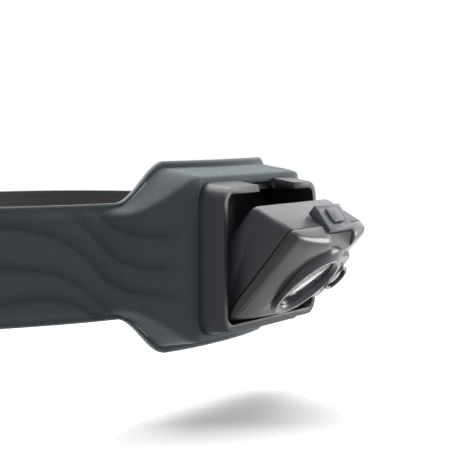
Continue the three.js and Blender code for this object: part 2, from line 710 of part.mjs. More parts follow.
function shoulderBody(grow, throughOnly) {
  const width = shoulder.right - shoulder.left + 2 * grow;
  const height = shoulder.top - shoulder.bottom + 2 * grow;
  const centreX = (shoulder.left + shoulder.right) / 2;
  const centreS = (shoulder.top + shoulder.bottom) / 2;
  const outline = (inset) => roundedRect(width - 2 * inset, height - 2 * inset, 2.6, centreX, centreS)
    .extractPoints(5).shape.slice(0, -1);
  const ringAt = (inset, t) => outline(inset).map((point) => new THREE.Vector3(point.x, -t(point), point.y));
  if (throughOnly) return loft([ringAt(0, () => -2), ringAt(0, () => 14)]);
  const topT = surfaceT(centreX, centreS) + shoulder.rise;
  return loft([
    ringAt(0, () => arch.footT),
    ringAt(0, (point) => Math.min(surfaceT(point.x, point.y), topT - 0.1)),
    ringAt(shoulder.inset, () => topT),
  ]);
}

function spotBezel() {
  const behind = 30;
  const bore = turned([
    [0, -3], [spot.rim + 1, -3], [spot.rim, 0], [spot.ledge + 0.1, spot.windowDepth],
    [spot.ledge, spot.windowDepth + spot.windowThickness + touch], [spot.bore, spot.mouthDepth - 0.2],
    [spot.bore, behind], [0, behind],
  ], spotPlace, 56);
  const below = polygon([
    [5, -lamp.height - 6], [5, -lamp.height - cover.floorDip - 5 * bottomRise],
    [-20, -lamp.height - cover.floorDip + 20 * bottomRise], [-20, -lamp.height - 6],
  ]);
  return archBody(0, false)
    .add(shoulderBody(0, false))
    .subtract(bore)
    .subtract(cylinderY(pod.x, pod.s, pod.radius + running, -20, 3, 40))
    .subtract(alongX(below, -halfWidth, halfWidth));
}

function spotWindow() {
  const front = spot.windowDepth + running;
  const radius = spot.window;
  return turned([
    [0, front], [radius, front], [radius, front + spot.windowThickness],
    [0, front + spot.windowThickness],
  ], spotPlace, 56);
}

// The dish follows a parabola from the throat to the mouth.
function spotReflector() {
  const depthAt = (radius) => spot.mouthDepth
    + spot.dishDepth * (1 - (radius ** 2 - spot.throat ** 2) / (spot.mouth ** 2 - spot.throat ** 2));
  const radii = stations(spot.throat, spot.mouth, 1.1);
  const inside = radii.map((radius) => [radius, depthAt(radius)]);
  const outside = radii.reverse().map(
    (radius) => [radius + spot.dishWall, depthAt(radius) + spot.dishWall / 3]);
  return turned([...inside, ...outside, inside[0]], spotPlace, 40);
}

const ledFrontDepth = spot.mouthDepth + spot.dishDepth;

function spotLed() {
  const base = turned([
    [0, ledFrontDepth], [spot.dome, ledFrontDepth], [spot.dome, ledFrontDepth + led.thickness],
    [0, ledFrontDepth + led.thickness],
  ], spotPlace, 32);
  const die = new THREE.BoxGeometry(spot.die, 0.6, spot.die).translate(0, ledFrontDepth - 0.2, 0);
  return base.add(toSolid(die.applyMatrix4(spotPlace)));
}

function spotDome() {
  const arc = (radius, height) => stations(0, Math.PI / 2, Math.PI / 10).map((angle) =>
    [radius * Math.cos(angle), ledFrontDepth - touch - height * Math.sin(angle)]);
  const outside = arc(spot.dome, spot.domeHeight);
  const inside = arc(spot.dome - spot.domeWall, spot.domeHeight - spot.domeWall).reverse();
  return turned([...outside, ...inside, outside[0]], spotPlace, 24);
}

function heatSink() {
  const top = ledFrontDepth + led.thickness + touch;
  const flangeFront = spot.rimT - tray.frontT + tray.thickness + 1.3;
  const back = spot.rimT + boardFrontY - 2 * touch;
  return turned([
    [0, top], [spot.column, top], [spot.column, flangeFront], [spot.flange, flangeFront],
    [spot.flange, flangeFront + spot.flangeThickness], [spot.column, flangeFront + spot.flangeThickness],
    [spot.column, back], [0, back],
  ], spotPlace, 40);
}

const podPlace = new THREE.Matrix4().makeTranslation(pod.x, 0, pod.s);

function podBezel() {
  return turned([
    [0, -pod.floorT], [pod.radius, -pod.floorT], [pod.radius, -pod.rimT + pod.chamfer],
    [pod.radius - pod.chamfer, -pod.rimT], [pod.bore + pod.chamfer, -pod.rimT],
    [pod.bore, -pod.rimT + pod.chamfer], [pod.bore, -pod.floorT - pod.floor], [0, -pod.floorT - pod.floor],
  ], podPlace, 40);
}

function podLensBody() {
  const radius = pod.bore - running;
  const curve = stations(0, Math.PI / 2, Math.PI / 12).map((angle) =>
    [radius * Math.cos(angle), -podLens.edgeT - podLens.dome * Math.sin(angle)]);
  return turned([[0, -podLens.backT], [radius, -podLens.backT], ...curve], podPlace, 40);
}

function podLed() {
  const back = -pod.floorT - pod.floor - touch;
  const half = led.size / 2;
  return box(pod.x - half, pod.x + half, back - led.thickness, back, pod.s - half, pod.s + half);
}

// ---------------------------------------------------------------- lamp: tray, board, cell, socket
const cellBackY = lamp.depth - lamp.wall - touch;
const boardBackY = cellBackY - cell.thickness - touch;
const boardFrontY = boardBackY - board.thickness;

function lightTray() {
  const halfTray = halfWidth - lamp.wall - touch;
  const outline = roundedRect(2 * halfTray, tray.topS - tray.bottomS, 1.5, 0, (tray.topS + tray.bottomS) / 2);
  const frontY = -tray.frontT;
  let body = alongY(outline, frontY, frontY + tray.thickness, 6)
    .subtract(cylinderY(spot.x, spot.s + 0.9, spot.column + 1, -3, 5, 32));
  for (const { x, z } of posts) body = body.subtract(cylinderY(x, z, screw.radius + running, -3, 5, 14));
  return body;
}

function statusLed() {
  const frontY = -tray.frontT - touch;
  return box(-17, -15.4, frontY - 0.7, frontY, -8.8, -8);
}

function mainBoard() {
  const plate = alongY(
    roundedRect(board.width, board.height, 1.5, 0, cell.centreS), boardFrontY, boardBackY, 4);
  const chip = (x, s, width, height, rise) =>
    box(x - width / 2, x + width / 2, boardFrontY - rise, boardFrontY + 0.2, s - height / 2, s + height / 2);
  return plate
    .add(chip(-12, -10, 6, 6, 1.2))
    .add(chip(-12.5, -27, 5.4, 5.4, 2.4))
    .add(chip(2, -31, 7, 3, 1.4))
    .add(chip(11, -28, 3.2, 1.8, 1))
    .add(chip(4, -7.5, 5, 3, 1.6));
}

function batteryCell() {
  return alongY(
    roundedRect(cell.width, cell.height, cell.corner, 0, cell.centreS),
    cellBackY - cell.thickness, cellBackY, 5);
}

function batteryLead(side) {
  const s = cell.centreS - Math.max(cell.height, board.height) / 2 - touch - lead.radius;
  return cylinderY(side * lead.spread, s, lead.radius, boardFrontY, cellBackY - cell.thickness / 2, 12);
}

const socketY = boardFrontY - touch - socket.thickness / 2;

// The rounded slot of the charging socket, grown by a margin.
function portHole(margin, fromX, toX) {
  const thickness = socket.thickness + 2 * margin;
  return alongX(
    roundedRect(thickness, socket.width + 2 * margin, thickness / 2 - 0.02, socketY, socket.s),
    fromX, toX, 6);
}

function usbSocket() {
  const mouthX = halfWidth - lamp.wall + 0.4;
  const backX = mouthX - socket.length;
  const tongue = alongX(
    roundedRect(socket.tongue, socket.width - 3, 0.3, socketY, socket.s), backX + 0.5, mouthX - 1, 3);
  return portHole(0, backX, mouthX).subtract(portHole(-socket.shell, backX + 1, mouthX + 1)).add(tongue);
}

const lampScrewSeatY = lamp.depth - screw.headHeight - running / 2;
const lampScrewLength = lampScrewSeatY + 1;

// ---------------------------------------------------------------- lamp: detent, tab, button, port cover
// A toothed sector beside the hinge: the nub of the frame's leaf spring clicks into its notches.
function detentSector() {
  const nearX = halfWidth + touch;
  const first = radians(detent.angle - lamp.tilt - 12);
  const last = radians(detent.angle + 12);
  const shape = new THREE.Shape();
  shape.moveTo(0, 0);
  shape.lineTo(detent.radius * Math.cos(first), detent.radius * Math.sin(first));
  shape.absarc(0, 0, detent.radius, first, last, false);
  const ends = [nearX, nearX + detent.thickness];
  let body = alongX(shape, ...ends, 12, hingeInLamp.y, hingeInLamp.z)
    .add(cylinderX(hingeInLamp.y, hingeInLamp.z, detent.hub, ...ends, 24));
  for (const angle of stations(detent.angle - lamp.tilt, detent.angle, detent.notchEvery)) {
    const y = hingeInLamp.y + (detent.radius + detent.nub * 0.55) * Math.cos(radians(angle));
    const z = hingeInLamp.z + (detent.radius + detent.nub * 0.55) * Math.sin(radians(angle));
    body = body.subtract(cylinderX(y, z, detent.nub, nearX - 1, nearX + 3, 14));
  }
  return body.subtract(
    cylinderX(hingeInLamp.y, hingeInLamp.z, pin.radius + running, nearX - 1, nearX + 3, 20));
}

function detentSpring() {
  const reach = detent.radius + touch + detent.nub;
  const y = hinge.y + reach * Math.cos(radians(detent.angle));
  const z = hinge.z + reach * Math.sin(radians(detent.angle));
  const nearX = halfWidth + touch;
  const farX = cavity.width / 2 - touch;
  const top = z + detent.nub - 0.1;
  return cylinderX(y, z, detent.nub, nearX, farX, 16)
    .add(box(nearX, farX, y, y + detent.arm, top - detent.leaf, top));
}

const tabTopTilt = Math.atan2(tab.backS - tab.frontS, tab.frontT - tab.backT);
const tabTopAt = (t) => tab.frontS + (tab.frontT - t) * Math.tan(tabTopTilt);
const buttonPlace = new THREE.Matrix4()
  .makeTranslation(tab.centreX, -button.t, tabTopAt(button.t))
  .multiply(new THREE.Matrix4().makeRotationX(tabTopTilt));

// A rounded block on the tab's sloping top, between two heights above it.
function onTab(width, length, corner, low, high) {
  const geometry = extrude(roundedRect(width, length, corner), high - low, 5).translate(0, 0, low);
  return toSolid(geometry.applyMatrix4(buttonPlace));
}

function buttonTab() {
  const underside = [[-tab.frontT, tab.bottomS], [-tab.backT, tab.bottomS]];
  const top = [[-tab.backT, tab.backS], [-tab.frontT, tab.frontS]];
  const outline = roundCorners([...underside, ...top], [0.3, 0.3, 0.5, 0.4], 3);
  const pocket = onTab(
    button.width + 2 * button.gap, button.length + 2 * button.gap, button.corner + button.gap,
    -button.pocket, 2);
  return alongX(polygon(outline), ...tabRange(0)).subtract(pocket);
}

function domeSwitchBody() {
  const geometry = new THREE.CylinderGeometry(
    domeSwitch.radius * 0.6, domeSwitch.radius, domeSwitch.thickness, 20);
  geometry.rotateX(Math.PI / 2).translate(0, 0, -button.pocket + touch / 2 + domeSwitch.thickness / 2);
  return toSolid(geometry.applyMatrix4(buttonPlace));
}

function powerButton() {
  return onTab(button.width, button.length, button.corner, -button.skirt, button.rise);
}

function portCover() {
  const nearX = halfWidth + touch;
  const plate = alongX(
    roundedRect(flap.length, flap.width, 1.6, socketY, socket.s), nearX, nearX + flap.thickness, 5);
  const plug = portHole(-socket.shell - touch, halfWidth - lamp.wall + 0.6, nearX + 0.2);
  return plate.add(plug);
}

// ---------------------------------------------------------------- assembly
function buildHeadlamp() {
  const headlamp = new THREE.Group();
  addPart(headlamp, 'front_frame', frontFrame(), darkPlastic);
  addPart(headlamp, 'rear_cup', rearCup(), darkPlastic);
  cornerScrews.forEach(({ x, z }, i) =>
    addPart(headlamp, `frame_screw_${i + 1}`, screwAt(x, z, frameScrewSeatY), steel));
  addPart(headlamp, 'headband_panel', headbandPanel(), fabricSlate);
  addPart(headlamp, 'forehead_pad', foreheadPad(), foam);
  addPart(headlamp, 'rear_strap', rearStrap(), webbing);
  addPart(headlamp, 'detent_spring', detentSpring(), steel);
  for (const [name, side] of [['right', -1], ['left', 1]]) {
    addPart(headlamp, `side_ring_${name}`, sideRing(side), darkPlastic);
    addPart(headlamp, `strap_slider_${name}`, strapSlider(side), darkPlastic);
    const hingePin = onSide(side, hinge.y, hinge.z, pin.radius, pinInner, pinOuter, 20);
    addPart(headlamp, `hinge_pin_${name}`, hingePin, steel);
  }

  const tilting = new THREE.Group();
  tilting.position.set(0, hinge.y, hinge.z);
  tilting.rotation.x = radians(lamp.tilt);
  headlamp.add(tilting);
  const face = new THREE.Group();
  face.position.set(0, -hingeInLamp.y, -hingeInLamp.z);
  tilting.add(face);
  addPart(face, 'lamp_housing', lampHousing(), housingPlastic);
  addPart(face, 'lens_cover', lensCover(), smokedClear);
  addPart(face, 'cover_seal', coverSeal(), rubber);
  addPart(face, 'light_tray', lightTray(), darkPlastic);
  addPart(face, 'spot_bezel', spotBezel(), bezelPlastic);
  addPart(face, 'spot_window', spotWindow(), clear);
  addPart(face, 'spot_reflector', spotReflector(), chrome);
  addPart(face, 'spot_led', spotLed(), phosphor);
  addPart(face, 'spot_led_dome', spotDome(), clear);
  addPart(face, 'spot_heat_sink', heatSink(), aluminium);
  addPart(face, 'pod_bezel', podBezel(), bezelPlastic);
  addPart(face, 'pod_lens', podLensBody(), smokedClear);
  addPart(face, 'pod_led', podLed(), phosphor);
  addPart(face, 'status_led', statusLed(), phosphor);
  addPart(face, 'main_board', mainBoard(), boardGreen);
  addPart(face, 'battery_cell', batteryCell(), cellFoil);
  addPart(face, 'battery_lead_right', batteryLead(-1), copperWire);
  addPart(face, 'battery_lead_left', batteryLead(1), copperWire);
  addPart(face, 'usb_socket', usbSocket(), steel);
  posts.forEach(({ x, z }, i) =>
    addPart(face, `lamp_screw_${i + 1}`, screwAt(x, z, lampScrewSeatY, lampScrewLength), steel));
  addPart(face, 'detent_sector', detentSector(), steel);
  addPart(face, 'button_tab', buttonTab(), tabPlastic);
  addPart(face, 'dome_switch', domeSwitchBody(), steel);
  addPart(face, 'power_button', powerButton(), tabPlastic);
  addPart(face, 'port_cover', portCover(), rubber);
  return headlamp;
}

export default buildHeadlamp();
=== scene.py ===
import math

import bpy
import numpy as np
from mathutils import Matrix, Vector


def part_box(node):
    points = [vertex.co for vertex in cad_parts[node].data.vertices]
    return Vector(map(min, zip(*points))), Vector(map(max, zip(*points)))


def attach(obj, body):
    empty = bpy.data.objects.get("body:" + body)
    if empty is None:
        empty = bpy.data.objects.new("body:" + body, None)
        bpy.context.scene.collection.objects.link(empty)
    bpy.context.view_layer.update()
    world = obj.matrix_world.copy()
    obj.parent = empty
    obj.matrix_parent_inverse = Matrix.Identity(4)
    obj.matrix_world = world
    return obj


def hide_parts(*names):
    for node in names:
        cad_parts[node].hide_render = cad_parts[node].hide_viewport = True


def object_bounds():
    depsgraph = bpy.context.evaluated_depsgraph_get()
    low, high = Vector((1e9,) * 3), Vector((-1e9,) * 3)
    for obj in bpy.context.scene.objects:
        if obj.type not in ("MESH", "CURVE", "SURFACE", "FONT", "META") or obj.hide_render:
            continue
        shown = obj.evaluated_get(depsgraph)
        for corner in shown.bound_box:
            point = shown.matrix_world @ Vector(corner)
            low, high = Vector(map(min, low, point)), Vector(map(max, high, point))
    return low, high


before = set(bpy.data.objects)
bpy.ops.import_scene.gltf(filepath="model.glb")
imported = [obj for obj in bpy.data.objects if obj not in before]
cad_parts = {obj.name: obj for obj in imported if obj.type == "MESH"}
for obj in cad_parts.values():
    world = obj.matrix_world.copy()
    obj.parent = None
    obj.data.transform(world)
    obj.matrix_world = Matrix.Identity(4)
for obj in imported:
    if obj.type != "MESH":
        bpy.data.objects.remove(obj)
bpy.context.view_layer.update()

mm = 0.001
print("frame loaded:", len(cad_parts), "nodes")


# Camera, floor and lamps.
cameraSet = {
    "place": (-0.39168, -0.24798, 0.0425),
    "turn": -58.72,       # degrees about Z
    "pitch": 4.24,        # degrees below level
    "lens": 111.4,
}


def makeCamera():
    data = bpy.data.cameras.new("mainCamera")
    data.lens = cameraSet["lens"]
    data.sensor_width = 36
    data.clip_start = 0.01
    camera = bpy.data.objects.new("mainCamera", data)
    camera.location = cameraSet["place"]
    camera.rotation_euler = (math.radians(90 - cameraSet["pitch"]), 0, math.radians(cameraSet["turn"]))
    bpy.context.scene.collection.objects.link(camera)
    bpy.context.scene.camera = camera


def softLamp(name, place, aim, size, power):
    data = bpy.data.lights.new(name, "AREA")
    data.shape = "RECTANGLE"
    data.size, data.size_y = size
    data.energy = power
    lampObject = bpy.data.objects.new(name, data)
    lampObject.location = place
    direction = Vector(aim) - Vector(place)
    lampObject.rotation_euler = direction.to_track_quat("-Z", "Y").to_euler()
    bpy.context.scene.collection.objects.link(lampObject)


studioSet = {
    "floorSize": 12.0,
    "floorDrop": 20.8 * mm,                   # from the lowest point down to the floor
    "floorColour": (0.84, 0.845, 0.85, 1),
    "nearGlow": 0.3,                          # share of plain white under the object
    "glowStart": 0.16,
    "glowEnd": 0.55,                          # where the floor has turned plain white
    "worldLight": 0.13,
}


lampSet = {
    "topSoftbox": {"place": (0.22, 0.1, 0.8), "aim": (0, -0.02, 0), "size": (1.0, 0.8), "power": 19.0},
    "sideSoftbox": {"place": (0.75, 0.0, 0.42), "aim": (0, -0.02, 0), "size": (0.6, 0.6), "power": 1.6},
    "rimStrip": {"place": (0.62, -0.44, 0.06), "aim": (0, -0.02, 0), "size": (0.25, 0.4), "power": 3.4},
    "frontFill": {"place": (-0.75, -0.7, 0.3), "aim": (0, 0, 0), "size": (0.6, 0.5), "power": 0.7},
}


# Shader expressions.
class Signal:
    def __init__(self, finish, socket):
        self.finish = finish
        self.socket = socket

    def join(self, operation, first, second=None):
        values = [first] if second is None else [first, second]
        return self.finish.node("ShaderNodeMath", {"operation": operation}, values)

    def __add__(self, other):
        return self.join("ADD", self, other)

    __radd__ = __add__

    def __sub__(self, other):
        return self.join("SUBTRACT", self, other)

    def __rsub__(self, other):
        return self.join("SUBTRACT", other, self)

    def __mul__(self, other):
        return self.join("MULTIPLY", self, other)

    __rmul__ = __mul__

    def __truediv__(self, other):
        return self.join("DIVIDE", self, other)

    def sine(self):
        return self.join("SINE", self)

    def atMost(self, other):
        return self.join("MINIMUM", self, other)

    def atLeast(self, other):
        return self.join("MAXIMUM", self, other)


class Finish:
    def __init__(self, name):
        self.material = bpy.data.materials.new(name)
        self.material.use_nodes = True
        self.tree = self.material.node_tree
        self.tree.nodes.clear()
        self.output = self.tree.nodes.new("ShaderNodeOutputMaterial")
        self.shader = None

    def node(self, kind, settings=None, inputs=None, output=0):
        made = self.tree.nodes.new(kind)
        for key, value in (settings or {}).items():
            setattr(made, key, value)
        pairs = inputs.items() if isinstance(inputs, dict) else enumerate(inputs or [])
        for key, value in pairs:
            self.feed(made.inputs[key], value)
        return Signal(self, made.outputs[output])

    def feed(self, socket, value):
        if isinstance(value, Signal):
            self.tree.links.new(value.socket, socket)
        else:
            socket.default_value = value

    def principled(self, **inputs):
        self.shader = self.tree.nodes.new("ShaderNodeBsdfPrincipled")
        for key, value in inputs.items():
            self.feed(self.shader.inputs[key.replace("_", " ")], value)
        self.tree.links.new(self.shader.outputs[0], self.output.inputs["Surface"])
        return self.material

    def place(self):
        return self.node("ShaderNodeTexCoord", output="Object")

    def noise(self, scale, detail=3.0, coordinates=None, roughness=0.5):
        where = coordinates or self.place()
        return self.node("ShaderNodeTexNoise", None,
                         {"Vector": where, "Scale": scale, "Detail": detail, "Roughness": roughness})

    def blend(self, factor, first, second):
        mixed = self.tree.nodes.new("ShaderNodeMix")
        mixed.data_type = "RGBA"
        self.feed(mixed.inputs[0], factor)
        self.feed(mixed.inputs[6], first)
        self.feed(mixed.inputs[7], second)
        return Signal(self, mixed.outputs[2])

    def bump(self, height, strength, distance, under=None):
        inputs = {"Height": height, "Strength": strength, "Distance": distance}
        if under is not None:
            inputs["Normal"] = under
        return self.node("ShaderNodeBump", None, inputs)


def opaque(red, green, blue):
    return (red, green, blue, 1)


def shade(colour, factor):
    return (*(channel * factor for channel in colour[:3]), 1)


# Moulded plastic: a fine spark-eroded grain, slight cloudiness and uneven gloss.
def mouldedPlastic(name, colour, roughness, grain=0.05, grainSize=2600.0, coat=0.0):
    finish = Finish(name)
    cloud = finish.noise(60.0, 2.0)
    fine = finish.noise(grainSize, 4.0)
    smudge = finish.noise(220.0, 5.0)
    base = finish.blend(cloud * 0.6 + fine * 0.4, shade(colour, 0.88), shade(colour, 1.12))
    return finish.principled(
        Base_Color=base,
        Roughness=roughness - 0.05 + smudge * 0.1,
        Specular_IOR_Level=0.3,
        Coat_Weight=coat,
        Coat_Roughness=0.12,
        Normal=finish.bump(fine, 0.35, grain * mm),
    )


# Smoked glossy cover: painted shade on one side, lightening into a painted lit side towards the other.
def smokedPlastic(name):
    s = smokeSet
    finish = Finish(name)
    across = finish.node("ShaderNodeSeparateXYZ", None, [finish.place()])
    haze = finish.noise(45.0, 2.0)
    # painted light: the colour turns from painted shade on one side to a lighter painted lit side along X
    ramp = (across - s["shadedAt"]) / (s["litAt"] - s["shadedAt"])
    share = (ramp + (haze - 0.5) * s["cloud"]).atLeast(0.0).atMost(1.0)
    return finish.principled(
        Base_Color=finish.blend(share, s["shadedSide"], s["thin"]),
        Roughness=0.3 + haze * 0.08,
        Specular_IOR_Level=0.3,
        Coat_Weight=0.22,
        Coat_Roughness=0.1,
    )


def clearPlastic(name, tint):
    finish = Finish(name)
    smear = finish.noise(300.0, 4.0)
    through = finish.node("ShaderNodeBsdfTransparent", None, {"Color": tint})
    mirror = finish.node("ShaderNodeBsdfGlossy", None, {"Roughness": 0.03 + smear * 0.04})
    edge = finish.node("ShaderNodeFresnel", None, {"IOR": 1.49})
    mixed = finish.node("ShaderNodeMixShader", None, {0: edge * 1.3, 1: through, 2: mirror})
    finish.tree.links.new(mixed.socket, finish.output.inputs["Surface"])
    return finish.material


def metalFinish(name, colour, roughness, streak=0.1, stretch=(1, 1, 1)):
    finish = Finish(name)
    where = finish.node("ShaderNodeMapping", None, {"Vector": finish.place(), "Scale": stretch})
    lines = finish.noise(900.0, 4.0, where)
    return finish.principled(
        Base_Color=finish.blend(lines, shade(colour, 0.9), shade(colour, 1.04)),
        Metallic=1.0,
        Roughness=roughness + lines * streak,
        Normal=finish.bump(lines, 0.08, 0.02 * mm),
    )


def rubberFinish(name, colour):
    finish = Finish(name)
    fine = finish.noise(1800.0, 3.0)
    dust = finish.noise(140.0, 6.0)
    return finish.principled(
        Base_Color=finish.blend(dust, colour, shade(colour, 1.7)),
        Roughness=0.72 + dust * 0.14,
        Normal=finish.bump(fine, 0.3, 0.05 * mm),
    )


smokeSet = {
    "shadedAt": -24 * mm,
    "litAt": 12 * mm,
    "cloud": 0.25,
    # colours of the painted shade (darker side) and the painted lit side (thin) across the cover
    "shadedSide": opaque(0.008, 0.0075, 0.007),
    "thin": opaque(0.06, 0.057, 0.053),
}


fabricSet = {
    "ribPitch": 0.76 * mm,
    "ribDepth": 0.07 * mm,
    "dark": opaque(0.011, 0.017, 0.021),
    "light": opaque(0.026, 0.037, 0.043),
    # colour of the painted shade along the moulded wave lines
    "paintedCreaseShade": opaque(0.004, 0.006, 0.007),
    # colour of the painted highlight along the sheet's top and bottom edges
    "edge": opaque(0.16, 0.17, 0.175),
}


# Ribbed knit: the ribs run up the band, over the length that the UV map gives in metres.
def ribbedKnit(name):
    finish = Finish(name)
    uv = finish.node("ShaderNodeUVMap", {"uv_map": "cloth"})
    along = finish.node("ShaderNodeSeparateXYZ", None, [uv])
    wander = finish.noise(70.0, 2.0, uv) * 0.5
    height = (along * (2 * math.pi / fabricSet["ribPitch"]) + wander).sine() * 0.5 + 0.5
    melange = finish.noise(900.0, 4.0, uv, 0.65)
    tone = height * 0.3 + melange * 0.7
    base = finish.blend(tone, fabricSet["dark"], fabricSet["light"])
    # painted shade: the waveShadow depth darkens the knit's colour along the moulded wave lines
    paintedCreaseShade = finish.node("ShaderNodeAttribute", {"attribute_name": "waveShadow"}, output="Fac")
    base = finish.blend(paintedCreaseShade * 0.75, base, fabricSet["paintedCreaseShade"])
    # painted highlight: the sheet's outermost rows are lightened
    paintedEdgeHighlight = finish.node("ShaderNodeAttribute", {"attribute_name": "paintedEdgeHighlight"}, output="Fac")
    base = finish.blend(paintedEdgeHighlight * (0.7 + melange * 0.3), base, fabricSet["edge"])
    fuzz = finish.noise(5200.0, 2.0)
    under = finish.bump(fuzz, 0.25, 0.03 * mm)
    return finish.principled(
        Base_Color=base,
        Roughness=0.72 + melange * 0.16,
        Sheen_Weight=0.55,
        Sheen_Roughness=0.35,
        Sheen_Tint=opaque(0.72, 0.84, 0.9),
        Normal=finish.bump(height, 0.8, fabricSet["ribDepth"], under),
    )


webbingSet = {
    "rowPitch": 1.25 * mm,
    "pickPitch": 0.62 * mm,
    "depth": 0.22 * mm,
    "dark": opaque(0.009, 0.008, 0.008),
    "light": opaque(0.034, 0.031, 0.030),
}


# Woven elastic: rows along the strap, crossed by picks that shift by half a pitch up each row.
def elasticWebbing(name):
    s = webbingSet
    finish = Finish(name)
    uv = finish.node("ShaderNodeUVMap", {"uv_map": "cloth"})
    split = finish.node("ShaderNodeSeparateXYZ", None, [uv])
    across = Signal(finish, split.socket.node.outputs[1])
    rows = (across * (2 * math.pi / s["rowPitch"])).sine() * 0.5 + 0.5
    picks = (split * (2 * math.pi / s["pickPitch"]) + rows * math.pi).sine() * 0.5 + 0.5
    fluff = finish.noise(2600.0, 4.0, uv)
    height = rows * 0.5 + picks * 0.5
    return finish.principled(
        Base_Color=finish.blend(height * 0.6 + fluff * 0.4, s["dark"], s["light"]),
        Roughness=0.78 + fluff * 0.15,
        Sheen_Weight=0.25,
        Sheen_Roughness=0.5,
        Normal=finish.bump(height, 0.8, s["depth"]),
    )


meshSet = {
    "knotsPerMetre": 520.0,
    "depth": 0.35 * mm,
    "gap": opaque(0.012, 0.013, 0.014),
    "thread": opaque(0.055, 0.06, 0.064),
}


# Spacer mesh over foam: small uneven knots with dark gaps between them.
def spacerMesh(name):
    s = meshSet
    finish = Finish(name)
    cells = finish.node("ShaderNodeTexVoronoi", None, {"Vector": finish.place(), "Scale": s["knotsPerMetre"]})
    fluff = finish.noise(2400.0, 3.0)
    gap = (cells * 1.9).atMost(1.0)
    return finish.principled(
        Base_Color=finish.blend(1 - gap + fluff * 0.25, s["gap"], s["thread"]),
        Roughness=0.85 + fluff * 0.1,
        Sheen_Weight=0.3,
        Sheen_Roughness=0.5,
        Normal=finish.bump(1 - gap, 0.9, s["depth"]),
    )


def ledPhosphor(name):
    finish = Finish(name)
    speck = finish.noise(3500.0, 3.0)
    return finish.principled(
        Base_Color=finish.blend(speck, opaque(0.82, 0.6, 0.12), opaque(0.95, 0.82, 0.35)),
        Roughness=0.45 + speck * 0.2,
        Normal=finish.bump(speck, 0.4, 0.03 * mm),
    )


def circuitBoard(name):
    finish = Finish(name)
    tracks = finish.node("ShaderNodeTexBrick", None,
                         {"Vector": finish.place(), "Scale": 320.0, "Mortar Size": 0.03})
    fine = finish.noise(1500.0, 3.0)
    mask = Signal(finish, tracks.socket.node.outputs[1])
    lacquer = opaque(0.012, 0.07, 0.035)
    copperBelow = opaque(0.05, 0.18, 0.09)
    return finish.principled(
        Base_Color=finish.blend(mask * 0.7 + fine * 0.2, lacquer, copperBelow),
        Roughness=0.35 + fine * 0.15,
        Normal=finish.bump(mask, 0.4, 0.05 * mm),
    )


backdropRays = ("Is Camera Ray", "Is Glossy Ray", "Is Transmission Ray")


# The floor turns plain white with distance, for rays that see it directly, reflected or through clear parts.
def floorFinish():
    finish = Finish("studioFloor")
    s = studioSet
    diffuse = finish.node("ShaderNodeBsdfDiffuse", None, {"Color": s["floorColour"]})
    white = finish.node("ShaderNodeEmission", None, {"Color": (1, 1, 1, 1), "Strength": 1.0})
    away = finish.node("ShaderNodeVectorMath", {"operation": "LENGTH"}, [finish.place()], "Value")
    fade = ((away - s["glowStart"]) / (s["glowEnd"] - s["glowStart"])).atLeast(0.0).atMost(1.0)
    rays = finish.tree.nodes.new("ShaderNodeLightPath")
    seen = [Signal(finish, rays.outputs[key]) for key in backdropRays]
    share = (seen[0] + seen[1] + seen[2]).atMost(1.0)
    glow = share * (fade * (1 - s["nearGlow"]) + s["nearGlow"])
    both = finish.node("ShaderNodeMixShader", None, [glow, diffuse, white])
    finish.tree.links.new(both.socket, finish.output.inputs["Surface"])
    return finish.material


def makeStudio():
    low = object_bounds()[0]
    half = studioSet["floorSize"] / 2
    mesh = bpy.data.meshes.new("studioFloor")
    corners = [(-half, -half), (half, -half), (half, half), (-half, half)]
    mesh.from_pydata([(x, y, low.z - studioSet["floorDrop"]) for x, y in corners], [], [(0, 1, 2, 3)])
    mesh.materials.append(floorFinish())
    floor = bpy.data.objects.new("studioFloor", mesh)
    bpy.context.scene.collection.objects.link(floor)
    for name, light in lampSet.items():
        softLamp(name, **light)
    world = bpy.data.worlds.new("studioWorld")
    world.use_nodes = True
    tree = world.node_tree
    tree.nodes.clear()
    background = tree.nodes.new("ShaderNodeBackground")
    background.inputs["Color"].default_value = (1, 1, 1, 1)
    rays = tree.nodes.new("ShaderNodeLightPath")
    strength = None
    for key in backdropRays:
        if strength is None:
            strength = rays.outputs[key]
            continue
        add = tree.nodes.new("ShaderNodeMath")
        add.operation = "MAXIMUM"
        tree.links.new(strength, add.inputs[0])
        tree.links.new(rays.outputs[key], add.inputs[1])
        strength = add.outputs[0]
    scale = tree.nodes.new("ShaderNodeMapRange")
    scale.inputs["To Min"].default_value = studioSet["worldLight"]
    tree.links.new(strength, scale.inputs["Value"])
    tree.links.new(scale.outputs["Result"], background.inputs["Strength"])
    output = tree.nodes.new("ShaderNodeOutputWorld")
    tree.links.new(background.outputs[0], output.inputs[0])
    bpy.context.scene.world = world
    bpy.context.scene.view_settings.view_transform = "Standard"


makeCamera()
makeStudio()
print("camera and studio ready")


# Finishes.
darkPlastic = mouldedPlastic("framePlastic", opaque(0.019, 0.0205, 0.025), 0.4)
housingPlastic = mouldedPlastic("housingPlastic", opaque(0.022, 0.025, 0.029), 0.38, 0.07)
tabPlastic = mouldedPlastic("tabPlastic", opaque(0.085, 0.09, 0.105), 0.4, 0.06)
bezelPlastic = mouldedPlastic("bezelPlastic", opaque(0.011, 0.0125, 0.019), 0.26, 0.02, 2600.0, 0.3)
podPlastic = mouldedPlastic("podPlastic", opaque(0.012, 0.013, 0.017), 0.16, 0.01, 2600.0, 0.5)
smokedCover = smokedPlastic("smokedCover")
podGlass = mouldedPlastic("podGlass", opaque(0.008, 0.009, 0.013), 0.06, 0.004, 900.0, 1.0)
clearWindow = clearPlastic("clearWindow", opaque(0.97, 0.98, 0.99))
chromeDish = metalFinish("chromeDish", opaque(0.93, 0.94, 0.95), 0.05, 0.05)
steelFinish = metalFinish("steelFinish", opaque(0.56, 0.57, 0.58), 0.26, 0.12)
